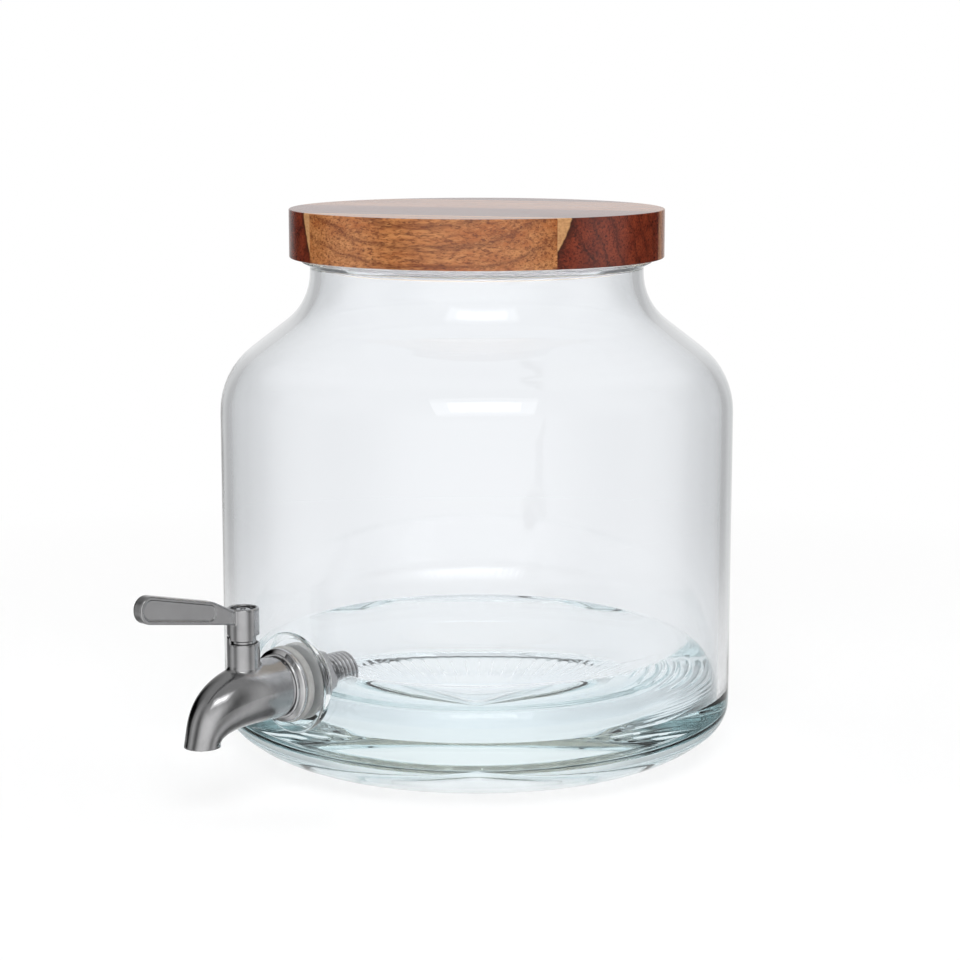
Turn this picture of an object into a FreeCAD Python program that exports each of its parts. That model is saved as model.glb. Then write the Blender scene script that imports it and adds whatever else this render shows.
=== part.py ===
import FreeCAD, Part
import math
import os

from FreeCAD import Vector

# Wide-mouth glass dispenser jar with a turned wooden lid and a quarter-turn steel lever tap.
# Millimetres, +Z up. The origin is on the jar's axis, on the plane that the jar stands on.
# The tap points along -Y. A reach is a distance from the jar's axis towards the tap.
# An azimuth is counted from the tap's direction, positive towards +X.

# Jar
overall_height = 225.0
body_diameter = 212.0
glass_wall = 4.6
base_thickness = 6.5
push_up = 3.0
push_up_slope = 25.0
bearing_width = 14.0
heel_width = 32.5
heel_angle = 40.0
heel_base_round = 42.0
heel_side_round = 13.0
inner_heel_round = 18.0
shoulder_slope = 52.4
shoulder_round = 32.0
neck_diameter = 137.2
neck_cove = 25.5
lip_diameter = 149.0
lip_height = 5.7
lip_thickness = 2.2
lip_taper = 2.4
lip_bevel = 0.6

# Moulded seat for the tap
tap_height = 44.5
boss_diameter = 40.0
boss_height = 1.5
boss_bevel = 0.8
inner_seat_diameter = 34.0
inner_seat_rise = 0.2

# Lid
lid_diameter = 154.0
lid_thickness = 20.0
lid_chamfer = 0.9
lid_plug_depth = 5.0
stave_width = 56.1
stave_shift = 1.7
stave_azimuth = 25.3
gasket_height = 2.6
gasket_width = 5.0
gasket_proud = 3.8
gasket_ledge = 0.9
gasket_bevel = 0.8
gasket_clearance = 0.3

# Tap shank, seals and nut
shank_diameter = 16.0
shank_bore = 9.5
shank_tail = 15.8
shank_chamfer = 0.8
shank_clearance = 0.5
washer_diameter = 30.0
washer_thickness = 3.0
washer_bevel = 0.5
nut_across_flats = 22.0
nut_thickness = 5.0
nut_chamfer = 0.9
thread_clearance = 0.05
flange_diameter = 29.0
flange_thickness = 4.3
flange_bevel = 0.7
collar_diameter = 25.6
collar_width = 1.3
collar_bevel = 0.4
groove_diameter = 22.6
groove_width = 0.8
spigot_diameter = 17.0
spigot_length = 5.4
spigot_clearance = 0.05

# Tap body
barrel_diameter = 24.0
tower_offset = 15.4
tower_diameter = 12.7
tower_height = 20.5
tower_fillet = 1.6
elbow_lead = 3.0
elbow_run = 24.4
elbow_drop = 16.5
outlet_diameter = 14.2
spout_wall = 1.7
elbow_turn_step = 30
barrel_ring_count = 2
edge_match = 0.05

# Valve
plug_diameter = 9.4
plug_depth = 9.0
plug_rise = 12.1
plug_port = 5.6
running_clearance = 0.05
blind_gap = 0.3
o_ring_section = 1.5
o_ring_squeeze_gap = 0.03
o_ring_groove_play = 0.2
o_ring_offset = 6.0
ring_thickness = 0.9
ring_play = 0.3
ring_wall = 0.85
ring_width = 1.85
ring_gap_angle = 70.0
stem_flats = 4.4
stem_clearance = 0.05
stem_length = 13.8

# Lever
hub_diameter = 12.5
hub_height = 13.7
hub_bevel = 0.4
skirt_gap = 1.3
lever_neck_diameter = 10.0
lever_neck_depth = 5.5
neck_clearance = 0.3
neck_end_gap = 0.5
recess_diameter = 9.6
recess_depth = 2.5
blade_thickness = 5.0
blade_length = 51.6
blade_root_height = 8.0
blade_bottom_slope = 9.5
blade_top_slope = 13.0
blade_kink_reach = 16.4
blade_kink_height = 18.7
blade_top_root = 13.0
blade_end_fullness = 0.91
blade_kink_round = 7.0
blade_edge_round = 0.7
panel_start = 15.4
panel_margin = 1.4
panel_depth = 0.8

# Lever stops
lever_sweep = 90.0
stop_azimuth = -182.0
stop_angle = 176.0
stop_height = 2.7
stop_play = 2.0
stop_clearance = 0.4

# Lever screw
screw_diameter = 3.0
screw_length = 12.0
screw_head_diameter = 6.0
screw_head_height = 1.8
screw_head_bevel = 0.4
screw_hole_play = 0.2
screw_thread_gap = 0.03
drive_slot_width = 0.9
drive_slot_depth = 0.9

# Sizes that follow from those above
rim_height = overall_height - lid_thickness
body_radius = body_diameter / 2
inner_radius = body_radius - glass_wall
neck_radius = neck_diameter / 2
neck_inner_radius = neck_radius - glass_wall
boss_face = body_radius + boss_height
inner_seat_face = math.sqrt(inner_radius ** 2 - (inner_seat_diameter / 2) ** 2) - inner_seat_rise
nut_face = inner_seat_face - washer_thickness
shank_end = nut_face - nut_thickness - shank_tail
flange_back = boss_face + washer_thickness
flange_front = flange_back + flange_thickness
barrel_start = flange_front + groove_width
shank_radius = shank_diameter / 2
tower_reach = barrel_start + tower_offset
tower_radius = tower_diameter / 2
tower_rim = tap_height + tower_height
elbow_start = tower_reach - elbow_lead
outlet_height = tap_height - elbow_drop
plug_radius = plug_diameter / 2
valve_bore_radius = plug_radius + running_clearance
plug_bottom = tap_height - plug_depth
plug_top = tap_height + plug_rise
ring_bottom = plug_top + ring_play
neck_bore_radius = lever_neck_diameter / 2 + neck_clearance
neck_bottom = tower_rim - lever_neck_depth
neck_bore_bottom = neck_bottom - neck_end_gap
skirt_bottom = tower_rim + skirt_gap
hub_top = tower_rim + hub_height
recess_floor = hub_top - recess_depth
stem_top = plug_top + stem_length
socket_top = stem_top + stem_clearance
screw_end = recess_floor - screw_length
through = 2 * overall_height


def corner_arc(before, corner, after, radius):
    """First, middle and last point of the arc that rounds a corner."""
    to_before = (before - corner).normalize()
    to_after = (after - corner).normalize()
    half_angle = to_before.getAngle(to_after) / 2
    run = radius / math.tan(half_angle)
    inward = (to_before + to_after).normalize()
    middle = corner + inward * (radius / math.sin(half_angle) - radius)
    return corner + to_before * run, middle, corner + to_after * run


def rounded_path(corners, closed=True):
    """Lines and arcs through (across, up, rounding) corners, drawn in the XZ plane."""
    points = [Vector(across, 0, up) for across, up, rounding in corners]
    count = len(points)
    bends = []
    for i, (across, up, rounding) in enumerate(corners):
        inside = closed or 0 < i < count - 1
        if rounding and inside:
            bends.append(corner_arc(points[i - 1], points[i], points[(i + 1) % count], rounding))
        else:
            bends.append((points[i],))
    edges = []
    for i, bend in enumerate(bends):
        if len(bend) > 1:
            edges.append(Part.Arc(*bend).toShape())
        if closed or i < count - 1:
            edges.append(Part.makeLine(bend[-1], bends[(i + 1) % count][0]))
    return edges


def turn(edges):
    """Revolve a closed outline in the XZ plane about the Z axis."""
    return Part.Face(Part.Wire(edges)).revolve(Vector(0, 0, 0), Vector(0, 0, 1), 360)


def tube(inner, outer, low, high):
    """Ring about Z."""
    return turn(rounded_path([(inner, low, 0), (outer, low, 0), (outer, high, 0), (inner, high, 0)]))


def bevelled_ring(inner, outer, low, high, bevel):
    """Ring about Z with its outer edges eased."""
    return turn(rounded_path([
        (inner, low, 0),
        (outer - bevel, low, 0),
        (outer, low + bevel, 0),
        (outer, high - bevel, 0),
        (outer - bevel, high, 0),
        (inner, high, 0),
    ]))


def rod(radius, low, high):
    """Cylinder about Z."""
    return Part.makeCylinder(radius, high - low, Vector(0, 0, low))


def square_bar(flats, low, high):
    """Square bar about Z."""
    return Part.makeBox(flats, flats, high - low, Vector(-flats / 2, -flats / 2, low))


def sector(radius, low, high, azimuth, angle):
    """Slice of a cylinder about Z that starts at an azimuth."""
    wedge = Part.makeCylinder(radius, high - low, Vector(0, 0, low), Vector(0, 0, 1), angle)
    wedge.rotate(Vector(0, 0, 0), Vector(0, 0, 1), azimuth - 90)
    return wedge


def on_tap_axis(shape):
    """Lay a shape made about Z along the tap's axis, so that its height becomes its reach."""
    shape.rotate(Vector(0, 0, 0), Vector(1, 0, 0), 90)
    shape.translate(Vector(0, 0, tap_height))
    return shape


def on_tower_axis(shape):
    """Stand a shape made about Z on the tap's upright axis."""
    shape.translate(Vector(0, -tower_reach, 0))
    return shape


def shoulder_corners(inset):
    """Corners of the shoulder's outline, or of one that lies inside it by an inset."""
    half_bend = math.tan(math.radians(shoulder_slope) / 2)
    neck_corner = rim_height - lip_height - neck_cove * half_bend
    body_corner = neck_corner - (body_radius - neck_radius) / math.tan(math.radians(shoulder_slope))
    drop = inset * half_bend
    return [
        (body_radius - inset, body_corner - drop, shoulder_round - inset),
        (neck_radius - inset, neck_corner - drop, neck_cove + inset),
    ]


def base_corners():
    """Corners of the recessed underside, the bearing ring and the heel, from the axis out to the wall."""
    bearing_outer = body_radius - heel_width
    bearing_inner = bearing_outer - bearing_width
    recess = push_up / math.tan(math.radians(push_up_slope))
    heel_slope = math.radians(heel_angle)
    heel_start = bearing_outer + heel_base_round * math.tan(heel_slope / 2)
    heel_top = (body_radius - heel_start) * math.tan(heel_slope)
    return [
        (0, push_up, 0),
        (bearing_inner - recess, push_up, 0),
        (bearing_inner, 0, 0),
        (heel_start, 0, heel_base_round),
        (body_radius, heel_top, heel_side_round),
    ]


def jar_outside():
    """The jar's outer form as a full solid."""
    lip_radius = lip_diameter / 2
    lip_bottom = rim_height - lip_thickness
    return turn(rounded_path(
        base_corners()
        + shoulder_corners(0)
        + [
            (neck_radius, lip_bottom - lip_taper, 0),
            (lip_radius, lip_bottom, 0),
            (lip_radius, rim_height - lip_bevel, 0),
            (lip_radius - lip_bevel, rim_height, 0),
            (0, rim_height, 0),
        ]))


def jar_cavity():
    """The space inside the jar, open through the mouth."""
    return turn(rounded_path(
        [(0, base_thickness, 0), (inner_radius, base_thickness, inner_heel_round)]
        + shoulder_corners(glass_wall)
        + [
            (neck_inner_radius, rim_height - lip_bevel, 0),
            (neck_inner_radius + lip_bevel, rim_height, 0),
            (neck_inner_radius + lip_bevel, overall_height, 0),
            (0, overall_height, 0),
        ]))


def glass_jar():
    """Blown jar with a flat moulded seat, inside and out, around the tap hole."""
    boss = on_tap_axis(bevelled_ring(shank_radius, boss_diameter / 2, body_radius / 2, boss_face, boss_bevel))
    inner_seat = on_tap_axis(rod(inner_seat_diameter / 2, inner_seat_face, boss_face))
    hole = on_tap_axis(rod(shank_radius + shank_clearance, shank_end, through))
    return jar_outside().fuse(boss).cut(jar_cavity().cut(inner_seat)).cut(hole).removeSplitter()


def gasket_sizes():
    """Inner radius, outer radius, bottom and top of the lid's gasket."""
    outer = neck_inner_radius - gasket_clearance
    bottom = rim_height - lid_plug_depth + gasket_ledge
    return outer - gasket_width, outer, bottom, bottom + gasket_height


def lid_blank():
    """The whole turned lid, with its plug and the groove for the gasket."""
    inner, outer, bottom, top = gasket_sizes()
    lid_plug_radius = outer - gasket_proud
    lid_plug_bottom = rim_height - lid_plug_depth
    return turn(rounded_path([
        (0, lid_plug_bottom, 0),
        (lid_plug_radius, lid_plug_bottom, 0),
        (lid_plug_radius, bottom, 0),
        (inner, bottom, 0),
        (inner, top, 0),
        (lid_plug_radius, top, 0),
        (lid_plug_radius, rim_height, 0),
        (lid_diameter / 2 - lid_chamfer, rim_height, 0),
        (lid_diameter / 2, rim_height + lid_chamfer, 0),
        (lid_diameter / 2, overall_height - lid_chamfer, 0),
        (lid_diameter / 2 - lid_chamfer, overall_height, 0),
        (0, overall_height, 0),
    ]))


def lid_stave(low, high):
    """One of the edge-glued boards that the lid is turned from."""
    slab = Part.makeBox(high - low, through, through, Vector(low, -through / 2, 0))
    slab.rotate(Vector(0, 0, 0), Vector(0, 0, 1), stave_azimuth - 90)
    return lid_blank().common(slab)


def lid_gasket():
    """Silicone ring round the lid's plug."""
    inner, outer, bottom, top = gasket_sizes()
    return bevelled_ring(inner, outer, bottom, top, gasket_bevel)


def tap_shank():
    """Flanged tube that passes through the glass. Its nose is screwed into the tap body."""
    flange_radius = flange_diameter / 2
    collar_radius = collar_diameter / 2
    collar_back = flange_front - collar_width
    flange_edge = flange_back + flange_thickness / 2
    return on_tap_axis(turn(rounded_path([
        (shank_bore / 2, shank_end, 0),
        (shank_radius - shank_chamfer, shank_end, 0),
        (shank_radius, shank_end + shank_chamfer, 0),
        (shank_radius, flange_back, 0),
        (flange_radius - flange_bevel, flange_back, 0),
        (flange_radius, flange_back + flange_bevel, 0),
        (flange_radius, flange_edge - flange_bevel, 0),
        (flange_radius - flange_bevel, flange_edge, 0),
        (collar_radius, collar_back, 0),
        (collar_radius, flange_front - collar_bevel, 0),
        (collar_radius - collar_bevel, flange_front, 0),
        (groove_diameter / 2, flange_front, 0),
        (groove_diameter / 2, barrel_start, 0),
        (spigot_diameter / 2, barrel_start, 0),
        (spigot_diameter / 2, barrel_start + spigot_length, 0),
        (shank_bore / 2, barrel_start + spigot_length, 0),
    ])))


def washer(low):
    """Soft flat washer on the shank, from a given reach outwards."""
    inner = shank_radius + thread_clearance
    return on_tap_axis(bevelled_ring(inner, washer_diameter / 2, low, low + washer_thickness, washer_bevel))


def lock_nut():
    """Thin hexagon nut that pulls the tap against the glass."""
    low = nut_face - nut_thickness
    corner_radius = nut_across_flats / math.sqrt(3)
    corners = []
    for i in range(6):
        angle = math.radians(60 * i)
        corners.append(Vector(corner_radius * math.cos(angle), corner_radius * math.sin(angle), low))
    prism = Part.Face(Part.makePolygon(corners + corners[:1])).extrude(Vector(0, 0, nut_thickness))
    rounded = turn(rounded_path([
        (shank_radius + thread_clearance, low, 0),
        (corner_radius - nut_chamfer, low, 0),
        (corner_radius, low + nut_chamfer / 2, 0),
        (corner_radius, nut_face - nut_chamfer / 2, 0),
        (corner_radius - nut_chamfer, nut_face, 0),
        (shank_radius + thread_clearance, nut_face, 0),
    ]))
    return on_tap_axis(prism.common(rounded))


def elbow_ring(turned, radius):
    """Circle across the elbow, from 0 degrees along the barrel to 90 degrees straight down."""
    angle = math.radians(turned)
    reach = elbow_start + elbow_run * math.sin(angle)
    height = outlet_height + elbow_drop * math.cos(angle)
    tilt = math.atan2(elbow_run * math.cos(angle), -elbow_drop * math.sin(angle))
    ring = Part.Wire(Part.Circle(Vector(0, 0, 0), Vector(0, 0, 1), radius).toShape())
    ring.rotate(Vector(0, 0, 0), Vector(1, 0, 0), math.degrees(tilt))
    ring.translate(Vector(0, -reach, height))
    return ring


def elbow_rings(first_radius, last_radius):
    """Circles along the elbow that narrow or widen smoothly to the outlet."""
    rings = []
    for turned in range(0, 90 + elbow_turn_step, elbow_turn_step):
        share = math.sin(math.radians(turned)) ** 2
        rings.append(elbow_ring(turned, first_radius + (last_radius - first_radius) * share))
    return rings


def barrel_and_spout():
    """Tapered tube that runs straight out and bends down to the outlet."""
    straight = elbow_start - barrel_start
    lead_rings = []
    for i in range(barrel_ring_count):
        ring = elbow_ring(0, barrel_diameter / 2)
        ring.translate(Vector(0, straight * (1 - i / barrel_ring_count), 0))
        lead_rings.append(ring)
    return Part.makeLoft(lead_rings + elbow_rings(barrel_diameter / 2, outlet_diameter / 2), True)


def spout_bore():
    """Passage from the valve through the elbow and out of the outlet."""
    rings = elbow_rings(plug_port / 2, outlet_diameter / 2 - spout_wall)
    past_outlet = rings[-1].copy()
    past_outlet.translate(Vector(0, 0, -spout_wall))
    return Part.makeLoft(rings + [past_outlet], True)


def is_tower_root(edge):
    """True for the edges where the tower meets the barrel."""
    middle = edge.valueAt((edge.FirstParameter + edge.LastParameter) / 2)
    off_axis = math.hypot(middle.x, middle.y + tower_reach)
    straight = edge.Curve.TypeId == "Part::GeomLine"
    low = middle.z < tap_height + barrel_diameter / 2 + tower_fillet
    return abs(off_axis - tower_radius) < edge_match and low and not straight


def tap_body():
    """Cast body: barrel, spout and the tower that holds the valve."""
    tower = on_tower_axis(rod(tower_radius, tap_height, tower_rim))
    outside = barrel_and_spout().fuse(tower)
    outside = outside.makeFillet(tower_fillet, [edge for edge in outside.Edges if is_tower_root(edge)])
    stop = sector(tower_radius, tower_rim, tower_rim + stop_height, stop_azimuth, stop_angle)
    outside = outside.fuse(on_tower_axis(stop))
    socket_end = barrel_start + spigot_length + spigot_clearance
    ring_groove = rod(tower_radius - ring_wall, ring_bottom, ring_bottom + ring_thickness)
    for space in (
        on_tap_axis(rod(spigot_diameter / 2 + spigot_clearance, barrel_start, socket_end)),
        on_tap_axis(rod(plug_port / 2, barrel_start, tower_reach)),
        on_tower_axis(rod(valve_bore_radius, plug_bottom - blind_gap, tower_rim)),
        on_tower_axis(rod(neck_bore_radius, neck_bore_bottom, tower_rim + through)),
        on_tower_axis(ring_groove),
        spout_bore(),
    ):
        outside = outside.cut(space)
    return outside


def o_ring_height(side):
    """Height of the seal above (side 1) or below (side -1) the plug's port."""
    return tap_height + side * o_ring_offset


def o_ring_radius():
    """Radius of the middle of a seal's section."""
    return valve_bore_radius - o_ring_squeeze_gap - o_ring_section / 2


def o_ring(side):
    """Round seal in one of the plug's grooves."""
    ring = Part.makeTorus(o_ring_radius(), o_ring_section / 2)
    ring.translate(Vector(0, 0, o_ring_height(side)))
    return on_tower_axis(ring)


def valve_plug():
    """Plug with a cross port that lies across the flow at rest, and a square stem."""
    plug = rod(plug_radius, plug_bottom, plug_top).fuse(square_bar(stem_flats, plug_top, stem_top))
    port = rod(plug_port / 2, -plug_diameter, plug_diameter)
    port.rotate(Vector(0, 0, 0), Vector(0, 1, 0), 90)
    port.translate(Vector(0, 0, tap_height))
    plug = plug.cut(port)
    groove_floor = o_ring_radius() - o_ring_section / 2 - o_ring_squeeze_gap
    half_groove = (o_ring_section + o_ring_groove_play) / 2
    for side in (-1, 1):
        height = o_ring_height(side)
        plug = plug.cut(tube(groove_floor, plug_diameter, height - half_groove, height + half_groove))
    plug = plug.cut(rod(screw_diameter / 2 + screw_thread_gap, screw_end - screw_diameter, stem_top))
    return on_tower_axis(plug)


def retaining_ring():
    """Open spring ring in the tower's groove that keeps the plug down."""
    outer = tower_radius - ring_wall
    ring_top = ring_bottom + ring_thickness
    ring = tube(outer - ring_width, outer, ring_bottom, ring_top)
    gap = sector(tower_diameter, ring_bottom, ring_top, -ring_gap_angle / 2, ring_gap_angle)
    return on_tower_axis(ring.cut(gap))


def lever_hub():
    """Hub with a neck that turns in the tower and a tongue that swings between the stop's ends."""
    hub = turn(rounded_path([
        (0, neck_bottom, 0),
        (lever_neck_diameter / 2, neck_bottom, 0),
        (lever_neck_diameter / 2, skirt_bottom, 0),
        (hub_diameter / 2, skirt_bottom, 0),
        (hub_diameter / 2, hub_top - hub_bevel, 0),
        (hub_diameter / 2 - hub_bevel, hub_top, 0),
        (recess_diameter / 2, hub_top, 0),
        (recess_diameter / 2, recess_floor, 0),
        (0, recess_floor, 0),
    ]))
    notch_top = tower_rim + stop_height + stop_clearance
    notch_angle = stop_angle + lever_sweep + 2 * stop_play
    notch_start = stop_azimuth - stop_play - lever_sweep
    notch = sector(hub_diameter, tower_rim, notch_top, notch_start, notch_angle)
    core = rod(lever_neck_diameter / 2, tower_rim, notch_top)
    return hub.cut(notch.cut(core))


def blade_heights(reach):
    """Bottom and top of the lever's blade at a distance from the hub's axis."""
    rise = math.tan(math.radians(blade_bottom_slope))
    top_rise = math.tan(math.radians(blade_top_slope))
    bottom = tower_rim + blade_root_height + rise * (reach - hub_diameter / 2)
    top = tower_rim + blade_kink_height + top_rise * (reach - blade_kink_reach)
    return bottom, top


def end_round(heights):
    """Rounding of a blade or panel end that has a given bottom and top."""
    bottom, top = heights
    return blade_end_fullness * (top - bottom) / 2


def slab_across(corners, thickness):
    """Plate in the lever's upright plane from (distance from the hub's axis, height, rounding) corners."""
    face = Part.Face(Part.Wire(rounded_path(corners)))
    face.translate(Vector(0, -thickness / 2, 0))
    plate = face.extrude(Vector(0, thickness, 0))
    plate.rotate(Vector(0, 0, 0), Vector(0, 0, 1), -90)
    return plate


def blade_outline():
    """Corners of the blade's side view, from the hub out to the tip and back."""
    root = recess_diameter / 2 + blade_edge_round / 2
    tip_bottom, tip_top = blade_heights(blade_length)
    tip_round = end_round((tip_bottom, tip_top))
    return [
        (root, blade_heights(root)[0], 0),
        (blade_length, tip_bottom, tip_round),
        (blade_length, tip_top, tip_round),
        (blade_kink_reach, tower_rim + blade_kink_height, blade_kink_round),
        (root, tower_rim + blade_top_root, 0),
    ]


def panel_outline():
    """Corners of the sunk panel, a margin inside the blade's outline."""
    corners = []
    for reach in (panel_start, blade_length - panel_margin):
        bottom, top = blade_heights(reach)
        bottom += panel_margin
        top -= panel_margin
        rounding = end_round((bottom, top))
        corners.insert(len(corners) // 2, (reach, bottom, rounding))
        corners.insert(len(corners) // 2 + 1, (reach, top, rounding))
    return corners


def lever_blade():
    """Upright blade that widens to a round tip, with a sunk panel on each side."""
    outline = blade_outline()
    root = outline[0][0]
    blade = slab_across(outline, blade_thickness)
    side_edges = [edge for edge in blade.Edges if edge.BoundBox.XLength < blade_thickness / 2]
    outer_edges = [edge for edge in side_edges if edge.BoundBox.YMin < -root - blade_edge_round]
    blade = blade.makeFillet(blade_edge_round, outer_edges)
    for side in (-1, 1):
        recess = slab_across(panel_outline(), blade_thickness)
        recess.translate(Vector(side * (blade_thickness - panel_depth), 0, 0))
        blade = blade.cut(recess)
    return blade


def lever_handle():
    """Hub and blade in one casting, socketed for the plug's stem."""
    lever = lever_hub().fuse(lever_blade())
    lever = lever.cut(square_bar(stem_flats + 2 * stem_clearance, neck_bottom, socket_top))
    lever = lever.cut(rod(screw_diameter / 2 + screw_hole_play, neck_bottom, recess_floor))
    return on_tower_axis(lever)


def lever_screw():
    """Cross-slotted screw that holds the lever on the plug's stem."""
    head_top = recess_floor + screw_head_height
    screw = turn(rounded_path([
        (0, screw_end, 0),
        (screw_diameter / 2, screw_end, 0),
        (screw_diameter / 2, recess_floor, 0),
        (screw_head_diameter / 2, recess_floor, 0),
        (screw_head_diameter / 2, head_top - screw_head_bevel, 0),
        (screw_head_diameter / 2 - screw_head_bevel, head_top, 0),
        (0, head_top, 0),
    ]))
    slot_length = screw_head_diameter / 2
    for length, width in ((slot_length, drive_slot_width), (drive_slot_width, slot_length)):
        corner = Vector(-length / 2, -width / 2, head_top - drive_slot_depth)
        screw = screw.cut(Part.makeBox(length, width, drive_slot_depth, corner))
    return on_tower_axis(screw)


glue_lines = [stave_shift + stave_width * i for i in (-1, 0, 1)]
stave_limits = [-lid_diameter] + glue_lines + [lid_diameter]
stave_names = ["lid_back_stave", "lid_mid_back_stave", "lid_mid_front_stave", "lid_front_stave"]

nodes = {
    "glass_jar": glass_jar(),
    "lid_gasket": lid_gasket(),
    "tap_shank": tap_shank(),
    "outer_washer": washer(boss_face),
    "inner_washer": washer(nut_face),
    "lock_nut": lock_nut(),
    "tap_body": tap_body(),
    "valve_plug": valve_plug(),
    "upper_o_ring": o_ring(1),
    "lower_o_ring": o_ring(-1),
    "retaining_ring": retaining_ring(),
    "lever_handle": lever_handle(),
    "lever_screw": lever_screw(),
}
for stave, low_side, high_side in zip(stave_names, stave_limits, stave_limits[1:]):
    nodes[stave] = lid_stave(low_side, high_side)

os.makedirs("parts", exist_ok=True)
for name, shape in nodes.items():
    shape.exportStep("parts/" + name + ".step")
    print(name, len(shape.Solids), "solid", shape.isValid(), round(shape.Volume), "mm3")
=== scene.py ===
import math

import bmesh
import bpy
from mathutils import Matrix, Vector


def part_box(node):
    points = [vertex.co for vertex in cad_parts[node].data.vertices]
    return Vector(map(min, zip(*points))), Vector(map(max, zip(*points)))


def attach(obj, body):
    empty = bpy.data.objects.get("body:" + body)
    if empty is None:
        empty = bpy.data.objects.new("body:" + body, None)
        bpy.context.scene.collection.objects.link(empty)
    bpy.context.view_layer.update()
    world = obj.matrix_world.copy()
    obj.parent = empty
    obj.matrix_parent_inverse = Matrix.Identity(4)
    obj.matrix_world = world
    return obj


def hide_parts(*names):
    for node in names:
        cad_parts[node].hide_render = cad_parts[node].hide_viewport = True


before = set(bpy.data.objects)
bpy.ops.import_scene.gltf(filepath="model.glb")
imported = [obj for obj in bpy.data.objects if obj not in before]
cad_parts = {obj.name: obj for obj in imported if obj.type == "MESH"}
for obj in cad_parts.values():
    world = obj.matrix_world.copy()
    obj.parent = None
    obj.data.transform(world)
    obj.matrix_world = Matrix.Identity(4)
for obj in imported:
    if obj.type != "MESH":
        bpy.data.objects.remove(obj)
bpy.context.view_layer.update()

MM = 0.001

# Camera
camera_azimuth = 43.0
camera_distance = 1.02225
camera_height = 0.28395
camera_pitch = 9.56
camera_lens = 93.07
camera_shift = 0.00333

# Jar
jar_low, jar_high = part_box("glass_jar")
body_radius = jar_high[0]
rim_height = jar_high[2]
boss_face = -jar_low[1]
glass_wall = 4.6 * MM
base_thickness = 9.0 * MM
push_up = 0.8 * MM
push_up_slope = 4.5
push_up_round = 40.0 * MM
bearing_round = 10.0 * MM
bearing_width = 14.0 * MM
heel_width = 32.5 * MM
heel_angle = 40.0
heel_base_round = 42.0 * MM
heel_side_round = 13.0 * MM
inner_heel_round = 18.0 * MM
shoulder_slope = 52.4
shoulder_round = 32.0 * MM
neck_radius = 68.6 * MM
neck_cove = 25.5 * MM
lip_radius = 72.2 * MM
lip_height = 5.7 * MM
lip_thickness = 1.5 * MM
lip_taper = 1.9 * MM
lip_cove = 1.2 * MM
lip_round = 0.6 * MM
boss_radius = 20.0 * MM
boss_round = 1.0 * MM
inner_seat_face = -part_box("inner_washer")[0][1]
inner_seat_radius = 17.0 * MM
tap_hole_radius = 8.5 * MM
rib_count = 60
rib_depth = 0.45 * MM
rib_sharpness = 6
wall_row = 6.0 * MM
base_row = 1.6 * MM
floor_wave = 0.35 * MM
floor_wave_length = 34.0 * MM
wave_bend = 1.3
wave_squeeze = 0.8
jar_segments = 360

# Lid
lid_low, lid_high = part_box("lid_mid_front_stave")
overall_height = lid_high[2]
lid_plug_bottom = lid_low[2]
lid_radius = 77.0 * MM
lid_edge_round = 0.5 * MM
lid_rest_gap = 0.25 * MM
# Height over which the painted light that makes the lid's underside pale fades in
painted_underside_fade = 0.2 * MM
gasket_low, gasket_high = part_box("lid_gasket")
gasket_radius = gasket_high[0]
gasket_width = 5.0 * MM
gasket_proud = 3.8 * MM
fin_depth = 2.2 * MM
fin_gap = 0.6 * MM
fin_round = 0.7 * MM
stave_width = 56.1 * MM
stave_shift = 1.7 * MM
stave_azimuth = 25.3
sapwood_width = 4.5 * MM
sapwood_lean = 0.3
lid_segments = 256

# Tap shank and seals
shank_low, shank_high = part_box("tap_shank")
shank_nose = -shank_low[1]
shank_end = -shank_high[1]
tap_height = (shank_low[2] + shank_high[2]) / 2
flange_radius = shank_high[0]
shank_radius = 8.0 * MM
shank_bore = 4.75 * MM
shank_chamfer = 0.8 * MM
thread_pitch = 2.0 * MM
thread_depth = 1.2 * MM
thread_row = 0.125 * MM
washer_thickness = 3.0 * MM
flange_back = boss_face + washer_thickness
flange_thickness = 4.3 * MM
flange_round = 0.95 * MM
flange_front = flange_back + flange_thickness
collar_radius = 12.8 * MM
collar_width = 1.3 * MM
collar_round = 0.5 * MM
groove_radius = 11.3 * MM
groove_width = 0.8 * MM
spigot_radius = 8.5 * MM
washer_round = 0.8 * MM
washer_clearance = 0.05 * MM
washer_face_gap = 0.1 * MM
shank_segments = 128

# Cast tap pieces
cast_voxel = 0.28 * MM
lever_voxel = 0.2 * MM
cast_smoothing = 12
cast_softening = 0.5

# Stage
floor_radius = 0.7
floor_rise = 0.03 * MM
floor_segments = 96
floor_grey = 0.93
floor_roughness = 0.9
floor_glow = 0.72
shadow_radius = 0.3
shadow_fade = (0.6, 1.4)
glow_reach = 2
near_floor_through = 0.95
world_level = 0.5
behind_glass_level = 6.0
behind_glass_overhead = 2.4
ceiling_level = 0.45
overhead_range = (0.35, 0.8)
steep_range = (0.25, 0.5)
light_bounces = 32
shown_walls = [
    (0.0, 0.8), (0.04, 0.3), (0.1, 0.0), (0.34, 0.0), (0.46, 0.45), (0.6, 0.75), (0.8, 0.2), (1.0, 1.3)]
through_walls = [(0.0, 0.97), (0.002, 0.97), (0.01, 0.86), (0.06, 0.62), (0.3, 0.5), (0.6, 0.5), (0.8, 0.75)]

# Lights, with turns from the camera's azimuth, sizes across and up, and powers in watts
key_turn = 4
key_elevation = 46
key_distance = 1.3
key_gap = 0.01
key_size = (0.9, 0.5)
key_power = 1.3
key_middle_size = (0.6, 0.22)
key_middle_power = 0.9
fill_power = 6.8
side_elevation = 50
side_size = (0.8, 0.8)
side_power = 4.0
left_turn = -100
left_distance = 1.4
right_turn = 115
right_distance = 1.5

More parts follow.
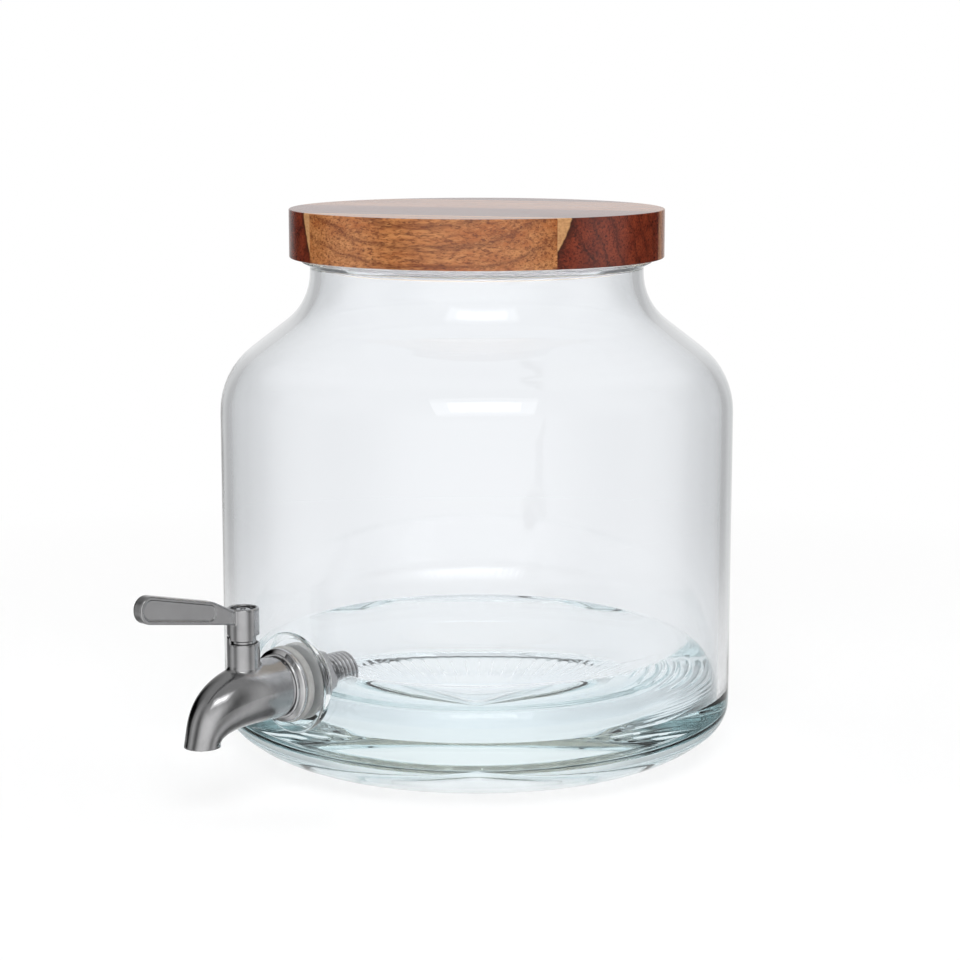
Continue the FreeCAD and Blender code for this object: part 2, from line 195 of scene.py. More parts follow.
# Glass
glass_tint = (0.965, 0.975, 0.99, 1)
glass_index = 1.5
glass_absorbs = (0.42, 0.82, 0.86, 1)
glass_density = 1.2
flow_stretch = (1, 1, 0.5)
flow_scale = 22
flow_strength = 0.12
flow_depth = 1.5 * MM

# Wood streaks, with their length and width
sway_streak = (90.0 * MM, 14.0 * MM)
band_streak = (70.0 * MM, 7.0 * MM)
fibre_streak = (11.0 * MM, 0.8 * MM)
fleck_streak = (3.2 * MM, 0.9 * MM)
glint_streak = (4.5 * MM, 0.9 * MM)
pore_streak = (4.0 * MM, 0.35 * MM)
streak_roughness = 0.6
grain_detail = 3.0
glint_detail = 2.0
pore_detail = 1.0

# Wood colour, with the streak strengths over which a colour comes in, and its largest share
band_range = (0.36, 0.64)
fibre_range = (0.34, 0.52)
fibre_share = 0.6
fleck_range = (0.36, 0.5)
fleck_share = 0.75
glint_range = (0.54, 0.68)
glint_share = 0.6
pore_range = (0.62, 0.7)
pore_share = 0.7
ring_sway = 1.6
ring_share = 0.6
late_wood_start = 0.62
late_wood_peak = 0.86
strip_range = (0.3, 0.6)
strip_share = 0.4
seam_width = 0.5
seam_share = 0.85
seam_edge = 0.1
# Largest share of the painted light that makes the lid's underside pale
painted_underside_share = 0.85
oil_range = (0.3, 0.7)
oil_roughness = (0.5, 0.36)
oil_specular = 0.05
oil_coat = 0.9
oil_coat_roughness = 0.17
grain_strength = 0.3
grain_depth = 0.1 * MM

# Steel and silicone
mottle_range = (0.35, 0.65)
cloud_scale = 120
cloud_detail = 4.0
finish_detail = 3.0
finish_roughness = 0.6
finish_share = 0.4
finish_shade = 0.86
finish_depth = 0.05 * MM
# Largest share of the painted shade at the thread's roots
thread_darkness = 0.9
skin_cloud_scale = 220
skin_cloud_detail = 3.0
skin_scale = 2600
skin_detail = 2.0
skin_range = (0.3, 0.7)
skin_roughness = 0.06
skin_specular = 0.45
skin_strength = 0.15
skin_depth = 0.06 * MM

# Outlines and shading
arc_step = math.radians(7)
sharp_angle = math.radians(34)
least_radius = 1e-9


def corner_points(before, corner, after, radius):
    """Points along the arc that rounds a corner."""
    to_before = (before - corner).normalized()
    to_after = (after - corner).normalized()
    half_angle = to_before.angle(to_after) / 2
    inward = (to_before + to_after).normalized()
    centre = corner + inward * (radius / math.sin(half_angle))
    start = corner + to_before * (radius / math.tan(half_angle)) - centre
    sweep = math.pi - 2 * half_angle
    if start.x * to_after.y - start.y * to_after.x < 0:
        sweep = -sweep
    count = max(2, math.ceil(abs(sweep) / arc_step))
    return [centre + Matrix.Rotation(sweep * i / count, 2) @ start for i in range(count + 1)]


def rounded_outline(corners, closed=True):
    """Points through (across, up, rounding) corners, with each rounding as an arc."""
    points = [Vector((across, up)) for across, up, rounding in corners]
    count = len(points)
    outline = []
    for i, (across, up, rounding) in enumerate(corners):
        inside = closed or 0 < i < count - 1
        if rounding and inside:
            outline += corner_points(points[i - 1], points[i], points[(i + 1) % count], rounding)
        else:
            outline.append(points[i])
    return outline


def with_rows(outline, step):
    """The same outline with extra points along its long runs."""
    rows = [outline[0]]
    for start, end in zip(outline, outline[1:]):
        count = max(1, round((end - start).length / step))
        rows += [start.lerp(end, (i + 1) / count) for i in range(count)]
    return rows


def new_object(name, mesh):
    """Object in the scene with a given mesh."""
    made = bpy.data.objects.new(name, mesh)
    bpy.context.scene.collection.objects.link(made)
    return made


def smooth(obj):
    """Smooth shading with sharp edges where faces meet at a steep angle."""
    obj.data.shade_smooth()
    obj.data.set_sharp_from_angle(angle=sharp_angle)
    return obj


def lathe(name, outline, segments, closed=True):
    """Outline of (radius, height) points turned about Z. An open outline starts and ends on the axis."""
    bm = bmesh.new()
    rings = []
    for point in outline:
        if point.x < least_radius:
            rings.append([bm.verts.new((0, 0, point.y))])
            continue
        ring = []
        for i in range(segments):
            angle = 2 * math.pi * i / segments
            ring.append(bm.verts.new((point.x * math.cos(angle), point.x * math.sin(angle), point.y)))
        rings.append(ring)
    pairs = list(zip(rings, rings[1:]))
    if closed:
        pairs.append((rings[-1], rings[0]))
    for low, high in pairs:
        for i in range(segments):
            j = (i + 1) % segments
            corners = [low[i % len(low)], low[j % len(low)], high[j % len(high)], high[i % len(high)]]
            bm.faces.new(list(dict.fromkeys(corners)))
    bmesh.ops.recalc_face_normals(bm, faces=bm.faces)
    mesh = bpy.data.meshes.new(name)
    bm.to_mesh(mesh)
    bm.free()
    return new_object(name, mesh)


def on_tap_axis(obj):
    """Lay an object made about Z along the tap's axis, so that its height becomes its reach."""
    obj.data.transform(Matrix.Translation((0, 0, tap_height)) @ Matrix.Rotation(math.pi / 2, 4, "X"))
    return obj


def applied(obj):
    """Replace an object's mesh by what its modifiers make of it."""
    depsgraph = bpy.context.evaluated_depsgraph_get()
    mesh = bpy.data.meshes.new_from_object(obj.evaluated_get(depsgraph))
    obj.modifiers.clear()
    obj.data = mesh
    return obj


def boolean(obj, tool, operation):
    """Join or cut an object with a tool, which is used up."""
    modifier = obj.modifiers.new("boolean", "BOOLEAN")
    modifier.operation = operation
    modifier.solver = "EXACT"
    modifier.object = tool
    applied(obj)
    bpy.data.objects.remove(tool)
    return obj


def ring(name, inner, outer, low, high, rounding, segments):
    """Ring about Z with its outer edges rounded."""
    corners = [(inner, low, 0), (outer, low, rounding), (outer, high, rounding), (inner, high, 0)]
    return lathe(name, rounded_outline(corners), segments)


# Jar

def shoulder_corners(inset):
    """Corners of the shoulder's outline, or of one that lies inside it by an inset."""
    half_bend = math.tan(math.radians(shoulder_slope) / 2)
    neck_corner = rim_height - lip_height - neck_cove * half_bend
    body_corner = neck_corner - (body_radius - neck_radius) / math.tan(math.radians(shoulder_slope))
    drop = inset * half_bend
    return [
        (body_radius - inset, body_corner - drop, shoulder_round - inset),
        (neck_radius - inset, neck_corner - drop, neck_cove + inset),
    ]


def base_corners():
    """Corners of the recessed underside, the bearing ring and the heel, from the axis out to the wall."""
    bearing_outer = body_radius - heel_width
    bearing_inner = bearing_outer - bearing_width
    recess = push_up / math.tan(math.radians(push_up_slope))
    heel_slope = math.radians(heel_angle)
    heel_start = bearing_outer + heel_base_round * math.tan(heel_slope / 2)
    heel_top = (body_radius - heel_start) * math.tan(heel_slope)
    return [
        (0, push_up, 0),
        (bearing_inner - recess, push_up, push_up_round),
        (bearing_inner, 0, bearing_round),
        (heel_start, 0, heel_base_round),
        (body_radius, heel_top, heel_side_round),
    ]


def jar_outline():
    """Outside of the jar up to the mouth, then down the inside to the axis."""
    lip_bottom = rim_height - lip_thickness
    neck_inner = neck_radius - glass_wall
    corners = base_corners() + shoulder_corners(0) + [
        (neck_radius, lip_bottom - lip_taper, lip_cove),
        (lip_radius, lip_bottom, lip_round),
        (lip_radius, rim_height, lip_round),
        (neck_inner, rim_height, lip_round),
    ] + shoulder_corners(glass_wall)[::-1] + [
        (body_radius - glass_wall, base_thickness, inner_heel_round),
        (0, base_thickness, 0),
    ]
    rows = []
    outline = rounded_outline(corners, closed=False)
    for start, end in zip(outline, outline[1:]):
        step = base_row if max(start.y, end.y) < base_thickness + base_row else wall_row
        rows += with_rows([start, end], step)[:-1]
    return rows + outline[-1:]


def wave_floor(jar):
    """Slow unevenness of the blown floor, on the inside only."""
    inner = body_radius - glass_wall - inner_heel_round
    turn = 2 * math.pi / floor_wave_length
    for vertex in jar.data.vertices:
        x, y, z = vertex.co
        across = math.hypot(x, y)
        if abs(z - base_thickness) < base_row / 2 and across < inner:
            lengthwise = math.sin(turn * x + wave_bend * math.sin(turn * y / 2))
            crosswise = math.sin(turn * y * wave_squeeze + math.sin(turn * x / 3))
            vertex.co.z += floor_wave * lengthwise * crosswise * math.cos(across / inner * math.pi / 2)


def rib_bearing_ring(jar):
    """Press shallow gaps between short radial ribs into the ring that the jar stands on."""
    middle = body_radius - heel_width - bearing_width / 2
    for vertex in jar.data.vertices:
        across = math.hypot(vertex.co.x, vertex.co.y)
        share = abs(across - middle) / bearing_width
        if vertex.co.z < rib_depth and share < 1:
            angle = math.atan2(vertex.co.y, vertex.co.x)
            rib = (0.5 + 0.5 * math.cos(rib_count * angle)) ** rib_sharpness
            fade = math.cos(share * math.pi / 2) ** 2
            vertex.co.z += rib_depth * fade * (1 - rib)


def make_jar():
    """Blown jar with a flat moulded seat, inside and out, around the tap hole."""
    jar = lathe("jar", jar_outline(), jar_segments, closed=False)
    rib_bearing_ring(jar)
    wave_floor(jar)
    wall_middle = body_radius - glass_wall / 2
    bore = tap_hole_radius / 2
    seat_root = wall_middle - glass_wall / 4
    seat = ring("seat", bore, boss_radius, seat_root, boss_face, boss_round, shank_segments)
    inner_seat = ring("seat", bore, inner_seat_radius, inner_seat_face, wall_middle, 0, shank_segments)
    hole_start = inner_seat_face - glass_wall
    hole_end = boss_face + glass_wall
    corners = [(0, hole_start), (tap_hole_radius, hole_start), (tap_hole_radius, hole_end), (0, hole_end)]
    hole = lathe("hole", [Vector(corner) for corner in corners], shank_segments, closed=False)
    boolean(jar, on_tap_axis(seat), "UNION")
    boolean(jar, on_tap_axis(inner_seat), "UNION")
    boolean(jar, on_tap_axis(hole), "DIFFERENCE")
    return smooth(jar)


# Lid

def lid_outline():
    """Half section of the whole turned lid, from the axis under the plug to the axis on top."""
    plug_radius = gasket_radius - gasket_proud
    gasket_inner = gasket_radius - gasket_width
    return rounded_outline([
        (0, lid_plug_bottom, 0),
        (plug_radius, lid_plug_bottom, 0),
        (plug_radius, gasket_low[2], 0),
        (gasket_inner, gasket_low[2], 0),
        (gasket_inner, gasket_high[2], 0),
        (plug_radius, gasket_high[2], 0),
        (plug_radius, rim_height + lid_rest_gap, 0),
        (lid_radius, rim_height + lid_rest_gap, lid_edge_round),
        (lid_radius, overall_height, lid_edge_round),
        (0, overall_height, 0),
    ], closed=False)


def cut_away(bm, across, side, limit):
    """Remove what lies beyond a glue line and close the cut."""
    geometry = list(bm.verts) + list(bm.edges) + list(bm.faces)
    cut = bmesh.ops.bisect_plane(
        bm, geom=geometry, plane_co=across * limit, plane_no=across * side, clear_outer=True)
    edges = [item for item in cut["geom_cut"] if isinstance(item, bmesh.types.BMEdge)]
    bmesh.ops.contextual_create(bm, geom=edges)


def make_stave(name, low, high):
    """One of the edge-glued boards that the lid is turned from."""
    stave = lathe(name, lid_outline(), lid_segments, closed=False)
    angle = math.radians(stave_azimuth)
    across = Vector((math.sin(angle), -math.cos(angle), 0))
    bm = bmesh.new()
    bm.from_mesh(stave.data)
    if low is not None:
        cut_away(bm, across, -1, low)
    if high is not None:
        cut_away(bm, across, 1, high)
    bmesh.ops.recalc_face_normals(bm, faces=bm.faces)
    bm.to_mesh(stave.data)
    bm.free()
    return smooth(stave)


def make_gasket():
    """Silicone ring round the lid's plug: a fin that presses on the neck, below a collar."""
    inner = gasket_radius - gasket_width
    root = gasket_radius - fin_depth
    collar = gasket_radius - gasket_proud
    low, high = gasket_low[2], gasket_high[2]
    return smooth(lathe("gasket_ring", rounded_outline([
        (inner, low, 0),
        (gasket_radius, low, fin_round),
        (gasket_radius, high - fin_gap, fin_round),
        (root, high - fin_gap, 0),
        (root, rim_height, 0),
        (collar, rim_height, 0),
        (collar, high, 0),
        (inner, high, 0),
    ]), lid_segments))


# Tap

def thread_radius(turns):
    """Radius of the thread's flank at a number of turns from a crest."""
    share = abs((turns % 1) - 0.5) * 2
    return shank_radius - thread_depth * (1 - share)


def make_shank():
    """Threaded tube with a polished flange and collar, screwed into the tap body."""
    flange_edge = flange_back + flange_thickness / 2
    collar_back = flange_front - collar_width
    barrel_start = flange_front + groove_width
    thread_end = flange_back
    mouth = shank_bore + shank_chamfer
    outline = [Vector((shank_bore, shank_end + shank_chamfer)), Vector((mouth, shank_end))]
    outline += with_rows([Vector((shank_radius, shank_end)), Vector((shank_radius, thread_end))], thread_row)
    outline += rounded_outline([
        (shank_radius, flange_back, 0),
        (flange_radius, flange_back, flange_round),
        (flange_radius, flange_edge, flange_round),
        (collar_radius, collar_back, 0),
        (collar_radius, flange_front, collar_round),
        (groove_radius, flange_front, 0),
        (groove_radius, barrel_start, 0),
        (spigot_radius, barrel_start, 0),
        (spigot_radius, shank_nose, 0),
        (shank_bore, shank_nose, 0),
    ], closed=False)[1:]
    shank = lathe("threaded_shank", outline, shank_segments)
    for vertex in shank.data.vertices:
        across = math.hypot(vertex.co.x, vertex.co.y)
        if abs(across - shank_radius) < thread_row and vertex.co.z < thread_end - thread_row:
            turns = vertex.co.z / thread_pitch - math.atan2(vertex.co.y, vertex.co.x) / (2 * math.pi)
            lead = min(1, (vertex.co.z - shank_end) / shank_chamfer)
            radius = min(thread_radius(turns), shank_radius - shank_chamfer * (1 - lead))
            vertex.co.x *= radius / across
            vertex.co.y *= radius / across
    return smooth(on_tap_axis(shank))


def make_washer(name, low, high):
    """Soft flat washer on the shank, between two reaches."""
    inner = shank_radius + washer_clearance
    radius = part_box("outer_washer")[1][0]
    washer = ring(name, inner, radius, low, high, washer_round, shank_segments)
    return smooth(on_tap_axis(washer))


def make_cast(name, node, voxel):
    """Cast piece with soft edges and fillets, remeshed from the solid that it stands for."""
    cast = new_object(name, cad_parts[node].data.copy())
    remesh = cast.modifiers.new("remesh", "REMESH")
    remesh.mode = "VOXEL"
    remesh.voxel_size = voxel
    soften = cast.modifiers.new("soften", "SMOOTH")
    soften.factor = cast_softening
    soften.iterations = cast_smoothing
    applied(cast)
    cast.data.materials.clear()
    cast.data.shade_smooth()
    return cast


# Materials

def linear(red, green, blue):
    """Scene colour of a display colour given from 0 to 255."""
    channels = []
    for value in (red, green, blue):
        share = value / 255
        channels.append(share / 12.92 if share <= 0.04045 else ((share + 0.055) / 1.055) ** 2.4)
    return (*channels, 1.0)


pore_colour = linear(50, 23, 13)
sapwood_colour = linear(196, 148, 100)
# Pale colour of the lid's underside: painted light on the unlit underside, which the jar's base reflects
painted_underside_light = linear(240, 230, 214)
# Painted shade for the roots of the shank's thread
painted_root_shade = linear(45, 45, 46)


def shade(colour, share):
    """A darker shade of a colour."""
    return tuple(share * channel for channel in colour[:3]) + (1.0,)


class Nodes:
    """A node tree, and short ways to add nodes to it."""

    def __init__(self, tree):
        self.tree = tree

    def node(self, kind, inputs=None, **settings):
        """New node with its settings and its inputs, each a value or another node's output."""
        made = self.tree.nodes.new("ShaderNode" + kind)
        for key, value in settings.items():
            setattr(made, key, value)
        for key, value in (inputs or {}).items():
            self.put(made.inputs[key], value)
        return made

    def put(self, socket, value):
        """Set a socket to a value, or link it to an output."""
        if isinstance(value, bpy.types.NodeSocket):
            self.tree.links.new(value, socket)
        else:
            socket.default_value = value

    def math(self, operation, first, second=0.0):
        """Arithmetic on two values."""
        made = self.node("Math", operation=operation)
        self.put(made.inputs[0], first)
        self.put(made.inputs[1], second)
        return made.outputs[0]

    def vector(self, operation, first, second=(0, 0, 0), output="Vector"):
        """Arithmetic on two vectors."""
        return self.node("VectorMath", {0: first, 1: second}, operation=operation).outputs[output]

    def spread(self, value, low, high, to_low, to_high):
        """Map a value from one range to another, held within it."""
        inputs = {"Value": value, "From Min": low, "From Max": high, "To Min": to_low, "To Max": to_high}
        return self.node("MapRange", inputs).outputs["Result"]

    def ramp(self, value, stops, interpolation="LINEAR"):
        """Colour along a list of (position, colour) stops."""
        made = self.node("ValToRGB", {"Fac": value})
        made.color_ramp.interpolation = interpolation
        elements = made.color_ramp.elements
        while len(elements) < len(stops):
            elements.new(0.5)
        for element, (position, colour) in zip(elements, stops):
            element.position = position
            element.color = colour
        return made.outputs["Color"]

    def mix(self, share, first, second):
        """Blend of two colours."""
        made = self.node("Mix", data_type="RGBA")
        self.put(made.inputs["Factor"], share)
        self.put(made.inputs["A"], first)
        self.put(made.inputs["B"], second)
        return made.outputs["Result"]

    def choose(self, share, first, second):
        """Blend of two values."""
        inputs = {"Factor": share, "A": first, "B": second}
        return self.node("Mix", inputs, data_type="FLOAT").outputs["Result"]


class Shader(Nodes):
    """A material with its node tree."""

    def __init__(self, name):
        self.material = bpy.data.materials.new(name)
        self.material.use_nodes = True
        super().__init__(self.material.node_tree)
        self.surface = self.tree.nodes["Principled BSDF"]
        self.output = self.tree.nodes["Material Output"]

    def set(self, **inputs):
        """Set the main shader's sockets, with spaces written as underscores."""
        for key, value in inputs.items():
            self.put(self.surface.inputs[key.replace("_", " ")], value)

    def place(self, scale=(1, 1, 1), turn=(0, 0, 0), shift=(0, 0, 0)):
        """Point on the piece, turned and scaled."""
        coordinates = self.node("TexCoord").outputs["Object"]
        turned = self.node("Mapping", {"Vector": coordinates, "Rotation": turn, "Location": shift})
        return self.node("Mapping", {"Vector": turned.outputs["Vector"], "Scale": scale}).outputs["Vector"]

    def noise(self, vector, scale, detail, roughness=0.5):
        """Soft random pattern."""
        inputs = {"Vector": vector, "Scale": scale, "Detail": detail, "Roughness": roughness}
        return self.node("TexNoise", inputs).outputs["Fac"]

    def bump(self, height, strength, distance):
        """Fine relief on the surface."""
        made = self.node("Bump", {"Height": height, "Strength": strength, "Distance": distance})
        self.put(self.surface.inputs["Normal"], made.outputs["Normal"])


def glass_material():
    """Clear soda-lime glass, a little blue-green through its thick base, with faint flow waves."""
    shader = Shader("clear_glass")
    shader.set(Base_Color=glass_tint, Roughness=0.0, IOR=glass_index, Transmission_Weight=1.0)
    waves = shader.noise(shader.place(flow_stretch), flow_scale, 1.0)
    shader.bump(waves, flow_strength, flow_depth)
    absorb = shader.node("VolumeAbsorption")
    absorb.inputs["Color"].default_value = glass_absorbs
    absorb.inputs["Density"].default_value = glass_density
    shader.tree.links.new(absorb.outputs["Volume"], shader.output.inputs["Volume"])
    return shader.material


def along_grain():
    """Turn that brings the grain of the staves along X."""
    return (0, 0, -math.radians(stave_azimuth))


def growth_rings(shader, parts, sway, tilt, ring_width):
    """Share of dark late wood in growth rings that lie at a tilt and sway."""
    lean = math.radians(tilt)
    upright = shader.math("MULTIPLY", parts["Z"], math.cos(lean))
    depth = shader.math("ADD", upright, shader.math("MULTIPLY", parts["Y"], math.sin(lean)))
    wavy = shader.math("ADD", depth, shader.math("MULTIPLY", sway, ring_sway * ring_width))
    phase = shader.math("FRACT", shader.math("DIVIDE", wavy, ring_width))
    none, full = (0, 0, 0, 1), (1, 1, 1, 1)
    late = shader.ramp(phase, [(0.0, none), (late_wood_start, none), (late_wood_peak, full), (1.0, none)])
    return shader.math("MULTIPLY", late, ring_share)


def add_sapwood(shader, colour, parts, sway, fibre, middle):
    """Colour with a pale strip of sapwood along the front glue line and a dark seam behind it."""
    rise = shader.math("MULTIPLY", shader.math("SUBTRACT", parts["Z"], overall_height), sapwood_lean)
    strip_end = stave_shift + stave_width - sapwood_width
    inward = shader.math("SUBTRACT", shader.math("ADD", parts["Y"], strip_end), rise)
    drift = shader.math("MULTIPLY", shader.math("SUBTRACT", sway, 0.5), sapwood_width)
    edge = shader.math("ADD", inward, drift)
    strip = shader.mix(shader.spread(fibre, *strip_range, strip_share, 0.0), sapwood_colour, middle)
    seam = shader.spread(edge, seam_width * sapwood_width, 0.0, 0.0, seam_share)
    share = shader.spread(edge, 0.0, -seam_edge * sapwood_width, 0.0, 1.0)
    return shader.mix(share, shader.mix(seam, colour, pore_colour), strip)


def wood_material(name, pale, middle, dark, tilt, ring_width, shift, sapwood=False):
    """Acacia with the grain along its stave and a satin oil finish, and painted light that makes the
    underside pale.
    """
    shader = Shader(name)

    def streaks(size, detail):
        """Random streaks along the grain, of about a length and a width."""
        length, width = size
        place = shader.place((1 / length, 1 / width, 1 / width), along_grain(), shift)
        return shader.noise(place, 1.0, detail, streak_roughness)

    sway = streaks(sway_streak, grain_detail)
    band = streaks(band_streak, grain_detail)
    fibre = streaks(fibre_streak, grain_detail)
    fleck = streaks(fleck_streak, grain_detail)
    glint = streaks(glint_streak, glint_detail)
    pore = streaks(pore_streak, pore_detail)
    parts = shader.node("SeparateXYZ", {"Vector": shader.place((1, 1, 1), along_grain())}).outputs
    colour = shader.mix(shader.spread(band, *band_range, 0.0, 1.0), middle, pale)
    colour = shader.mix(growth_rings(shader, parts, sway, tilt, ring_width), colour, dark)
    colour = shader.mix(shader.spread(fibre, *fibre_range, fibre_share, 0.0), colour, dark)
    colour = shader.mix(shader.spread(fleck, *fleck_range, fleck_share, 0.0), colour, dark)
    colour = shader.mix(shader.spread(glint, *glint_range, 0.0, glint_share), colour, pale)
    colour = shader.mix(shader.spread(pore, *pore_range, 0.0, pore_share), colour, pore_colour)
    if sapwood:
        colour = add_sapwood(shader, colour, parts, sway, fibre, middle)
    # Painted light: below the rim, the unlit underside of the lid is made pale
    underside = rim_height + lid_rest_gap
    painted_underside = shader.spread(parts["Z"], underside, underside + painted_underside_fade, painted_underside_share, 0.0)
    shader.set(
        Base_Color=shader.mix(painted_underside, colour, painted_underside_light),
        Roughness=shader.spread(fibre, *oil_range, *oil_roughness),
        Specular_IOR_Level=oil_specular,
        Coat_Weight=oil_coat,
        Coat_Roughness=oil_coat_roughness)
    shader.bump(shader.math("SUBTRACT", fibre, pore), grain_strength, grain_depth)
    return shader.material


def thread_shade(shader, colour):
    """Colour with painted shade that darkens towards the roots of the shank's thread."""
    offset = shader.vector("SUBTRACT", shader.node("TexCoord").outputs["Object"], (0, 0, tap_height))
    across = shader.vector("LENGTH", shader.vector("MULTIPLY", offset, (1, 0, 1)), output="Value")
    share = shader.spread(across, shank_radius - thread_depth, shank_radius, thread_darkness, 0.0)
    return shader.mix(share, colour, painted_root_shade)


def steel_material(name, colour, rough_low, rough_high, streak_scale, relief, threaded=False):
    """Stainless steel with a fine worked finish and slight cloudiness."""
    shader = Shader(name)
    cloud = shader.noise(shader.place(), cloud_scale, cloud_detail, finish_roughness)
    streak = shader.noise(shader.place(streak_scale), 1.0, finish_detail, finish_roughness)
    worked = shader.choose(finish_share, cloud, streak)
    mottle = shader.spread(worked, *mottle_range, 0.0, 1.0)
    finish = shader.mix(mottle, shade(colour, finish_shade), colour)
    shader.set(
        Metallic=1.0,
        # With a thread, painted shade darkens the thread's roots
        Base_Color=thread_shade(shader, finish) if threaded else finish,
        Roughness=shader.spread(worked, *mottle_range, rough_low, rough_high))
    shader.bump(worked, relief, finish_depth)
    return shader.material


def soft_material(name, colour, roughness, speckle):
    """Silicone or rubber with a matt moulded skin."""
    shader = Shader(name)
    cloud = shader.noise(shader.place(), skin_cloud_scale, skin_cloud_detail)
    grain = shader.noise(shader.place(), skin_scale, skin_detail)
    mottle = shader.spread(cloud, *mottle_range, 0.0, 1.0)
    shader.set(
        Base_Color=shader.mix(mottle, shade(colour, speckle), colour),
        Roughness=shader.spread(grain, *skin_range, roughness - skin_roughness, roughness + skin_roughness),
        Specular_IOR_Level=skin_specular)
    shader.bump(grain, skin_strength, skin_depth)
    return shader.material


# Stage

def wall_level(nodes, direction, stops):
    """Brightness of the studio's walls by bearing, where 0 is the back and 1 the front."""
    angle = math.radians(camera_azimuth)
    front = (math.sin(angle), -math.cos(angle), 0)
    flat = nodes.vector("MULTIPLY", direction, (1, 1, 0))
    facing = nodes.vector("DOT_PRODUCT", nodes.vector("NORMALIZE", flat), front, "Value")
    greys = [(position, (level, level, level, 1)) for position, level in stops]
    return nodes.ramp(nodes.spread(facing, -1, 1, 0, 1), greys, "EASE")


def make_floor():
    """White floor that keeps a soft shadow, and that fades into the walls."""
    outline = [Vector((0, floor_rise)), Vector((floor_radius, floor_rise))]
    floor = lathe("floor", outline, floor_segments, closed=False)
    shader = Shader("white_floor")
    white = (floor_grey, floor_grey, floor_grey, 1)
    shader.set(Base_Color=white, Roughness=floor_roughness, Specular_IOR_Level=0.0)
    path = shader.node("LightPath").outputs
    away = shader.vector("MULTIPLY", shader.node("NewGeometry").outputs["Incoming"], (-1, -1, -1))
    across = shader.vector("LENGTH", shader.node("TexCoord").outputs["Object"], output="Value")
    fade_start, fade_end = [share * shadow_radius for share in shadow_fade]
    far = shader.spread(across, fade_start, fade_end, 0.0, 1.0)
    shown = wall_level(shader, away, shown_walls)
    through = shader.choose(far, near_floor_through, wall_level(shader, away, through_walls))
    solid = shader.choose(path["Is Glossy Ray"], 1.0, shown)
    level = shader.choose(path["Is Transmission Ray"], solid, through)
    glow = shader.node("Emission", {"Color": (1, 1, 1, 1), "Strength": level})
    glow_share = shader.spread(across, shadow_radius, glow_reach * shadow_radius, floor_glow, 1.0)
    shows = shader.math("SUBTRACT", 1.0, path["Is Diffuse Ray"])
    share = shader.math("MULTIPLY", shows, glow_share)
    surface = shader.surface.outputs["BSDF"]
    mixed = shader.node("MixShader", {0: share, 1: surface, 2: glow.outputs["Emission"]})
    shader.tree.links.new(mixed.outputs["Shader"], shader.output.inputs["Surface"])
    floor.data.materials.append(shader.material)


def make_world():
    """White to the camera. Metal and glass see a studio with a bright back and front and darker sides."""
    world = bpy.data.worlds.new("studio")
    bpy.context.scene.world = world
    world.use_nodes = True
    nodes = Nodes(world.node_tree)
    nodes.tree.nodes.clear()
    path = nodes.node("LightPath").outputs
    direction = nodes.node("TexCoord").outputs["Generated"]
    height = nodes.node("SeparateXYZ", {0: direction}).outputs["Z"]
    overhead = nodes.spread(height, *overhead_range, 0.0, 1.0)
    steep = nodes.spread(nodes.math("ABSOLUTE", height), *steep_range, 0.0, 1.0)
    shown = nodes.choose(overhead, wall_level(nodes, direction, shown_walls), ceiling_level)
    through = nodes.choose(steep, wall_level(nodes, direction, through_walls), near_floor_through)
    studio = nodes.choose(path["Is Transmission Ray"], shown, through)
    scattered = nodes.spread(path["Diffuse Depth"], 0, 1, 0, 1)
    behind_glass = nodes.choose(steep, behind_glass_level, behind_glass_overhead)
    diffuse = nodes.choose(path["Is Diffuse Ray"], behind_glass, world_level)
    lit = nodes.choose(scattered, studio, diffuse)
    level = nodes.choose(path["Is Camera Ray"], lit, 1.0)
    background = nodes.node("Background", {"Color": (1, 1, 1, 1), "Strength": level})
    output = nodes.node("OutputWorld")
    nodes.tree.links.new(background.outputs[0], output.inputs["Surface"])


def make_light(name, turn, elevation, distance, size, power, shows):
    """Rectangular soft light aimed at the middle of the object, which metal and glass may show."""
    data = bpy.data.lights.new(name, "AREA")
    data.shape = "RECTANGLE"
    data.size, data.size_y = size
    data.energy = power
    light = new_object(name, data)
    across = distance * math.cos(math.radians(elevation))
    angle = math.radians(camera_azimuth + turn)
    aim = Vector((0, 0, overall_height / 2))
    light.location = aim + Vector((
        across * math.sin(angle), -across * math.cos(angle), distance * math.sin(math.radians(elevation))))
    light.visible_glossy = shows
    light.visible_transmission = shows
    light.rotation_euler = (aim - light.location).to_track_quat("-Z", "Y").to_euler()


def make_camera():
    """Camera at the photograph's viewing angle."""
    data = bpy.data.cameras.new("camera")
    data.lens = camera_lens
    data.shift_x = camera_shift
    camera = new_object("camera", data)
    angle = math.radians(camera_azimuth)
    camera.location = (camera_distance * math.sin(angle), -camera_distance * math.cos(angle), camera_height)
    camera.rotation_euler = (math.radians(90 - camera_pitch), 0, angle)
    bpy.context.scene.camera = camera


def dress(piece, body, slot, material, *nodes):
    """Give a piece its material, its body and the solids that it stands for."""
    piece.data.materials.clear()
    piece.data.materials.append(material)
    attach(piece, body)
    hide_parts(*nodes)


def finish_node(node, material):
    """Give a solid that stays its finished material."""
    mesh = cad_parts[node].data
    mesh.materials.clear()
    mesh.materials.append(material)


bpy.context.scene.view_settings.view_transform = "Standard"
bpy.context.scene.cycles.max_bounces = light_bounces
bpy.context.scene.cycles.transmission_bounces = light_bounces
bpy.context.scene.cycles.glossy_bounces = light_bounces
make_camera()
make_world()
make_floor()
make_light("key", key_turn, key_elevation, key_distance, key_size, key_power, True)
make_light(
    "key_middle", key_turn, key_elevation, key_distance - key_gap, key_middle_size, key_middle_power, True)
make_light("fill", key_turn, key_elevation, key_distance + key_gap, key_size, fill_power, False)
make_light("left", left_turn, side_elevation, left_distance, side_size, side_power, False)
make_light("right", right_turn, side_elevation, right_distance, side_size, side_power, False)

